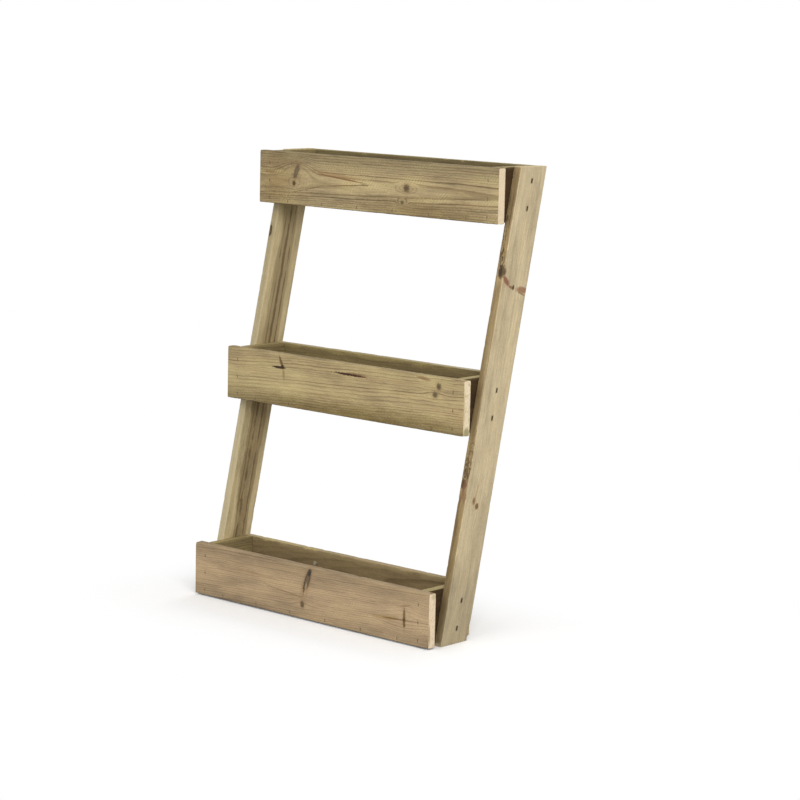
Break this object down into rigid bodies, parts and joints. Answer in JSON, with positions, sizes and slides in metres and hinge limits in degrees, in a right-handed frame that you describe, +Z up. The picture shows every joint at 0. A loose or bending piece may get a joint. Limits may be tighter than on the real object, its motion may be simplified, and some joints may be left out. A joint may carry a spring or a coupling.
{
  "type": "vertical garden planter",
  "caption": "Leaning wooden ladder planter: open troughs stepped back one above the other between two slanted side boards, nailed together.",
  "frame": {"origin": "on the floor, under the middle of the whole planter", "axes": "+X along the troughs to the right as seen from the front, +Y back to the wall, +Z up"},
  "size_m": [0.7, 0.35, 1],
  "materials": {
    "front_timber": "planed pressure-treated softwood",
    "leg_timber": "planed pressure-treated softwood",
    "inner_timber": "rough sawn pressure-treated softwood",
    "nail_steel": "dull dark wire"
  },
  "bodies": {
    "root": {"bottom_front_board": "front_timber", "bottom_back_board": "inner_timber", "bottom_floor_board": "inner_timber", "bottom_left_end": "inner_timber", "bottom_right_end": "inner_timber", "bottom_front_nails": "nail_steel", "bottom_back_nails": "nail_steel", "middle_front_board": "front_timber", "middle_back_board": "inner_timber", "middle_floor_board": "inner_timber", "middle_left_end": "inner_timber", "middle_right_end": "inner_timber", "middle_front_nails": "nail_steel", "middle_back_nails": "nail_steel", "top_front_board": "front_timber", "top_back_board": "inner_timber", "top_floor_board": "inner_timber", "top_left_end": "inner_timber", "top_right_end": "inner_timber", "top_front_nails": "nail_steel", "top_back_nails": "nail_steel", "left_leg": "leg_timber", "left_leg_nails": "nail_steel", "right_leg": "leg_timber", "right_leg_nails": "nail_steel"}
  },
  "joints": []
}
